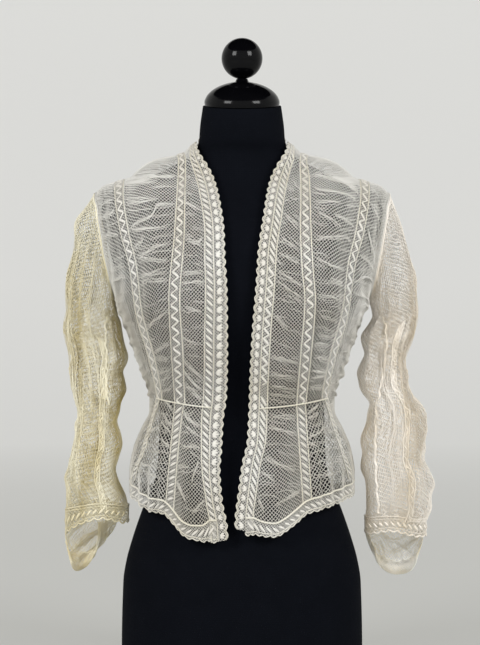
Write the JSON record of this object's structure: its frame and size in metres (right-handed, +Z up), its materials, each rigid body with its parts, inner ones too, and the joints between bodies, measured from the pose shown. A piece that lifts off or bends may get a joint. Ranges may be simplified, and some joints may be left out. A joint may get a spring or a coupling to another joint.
{
  "type": "lace cardigan on a dress form",
  "caption": "Open-front net and lace cardigan with long sleeves, banded fronts, peplum and scalloped edges, worn on a limbless black dress form with a neck cap and ball.",
  "frame": {"origin": "centre of the dress form's flat base, on the surface it stands on", "axes": "+Z up, the garment's open front faces -Y, its right-hand side in the view is +X"},
  "size_m": [0.4757, 0.2579, 0.8251],
  "materials": {
    "net": "ecru cotton net, matte",
    "lace": "ecru cotton lace, matte",
    "cord": "cream cotton cord, matte",
    "jersey": "black jersey, matte",
    "lacquer": "black gloss"
  },
  "bodies": {
    "root": {"form_body": "jersey", "neck_cap": "lacquer", "finial_ball": "lacquer", "back_panel": "net", "back_peplum": "net", "hem_band_back": "lace", "back_neck_edging": "lace", "front_edging_left": "lace", "front_edging_right": "lace", "rope_band_left": "lace", "rope_band_right": "lace", "zigzag_band_inner_left": "lace", "zigzag_band_inner_right": "lace", "zigzag_band_outer_left": "lace", "zigzag_band_outer_right": "lace", "peplum_band_left": "lace", "peplum_band_right": "lace", "hem_band_left": "lace", "hem_band_right": "lace", "sleeve_band_left": "lace", "sleeve_band_right": "lace", "cuff_band_left": "lace", "cuff_band_right": "lace", "front_net_strip_left": "net", "front_net_strip_right": "net", "front_net_panel_left": "net", "front_net_panel_right": "net", "side_net_panel_left": "net", "side_net_panel_right": "net", "peplum_inner_left": "net", "peplum_inner_right": "net", "peplum_outer_left": "net", "peplum_outer_right": "net", "sleeve_left": "net", "sleeve_right": "net", "cuff_drop_left": "net", "cuff_drop_right": "net", "waist_cord_left": "cord", "waist_cord_right": "cord"}
  },
  "joints": []
}
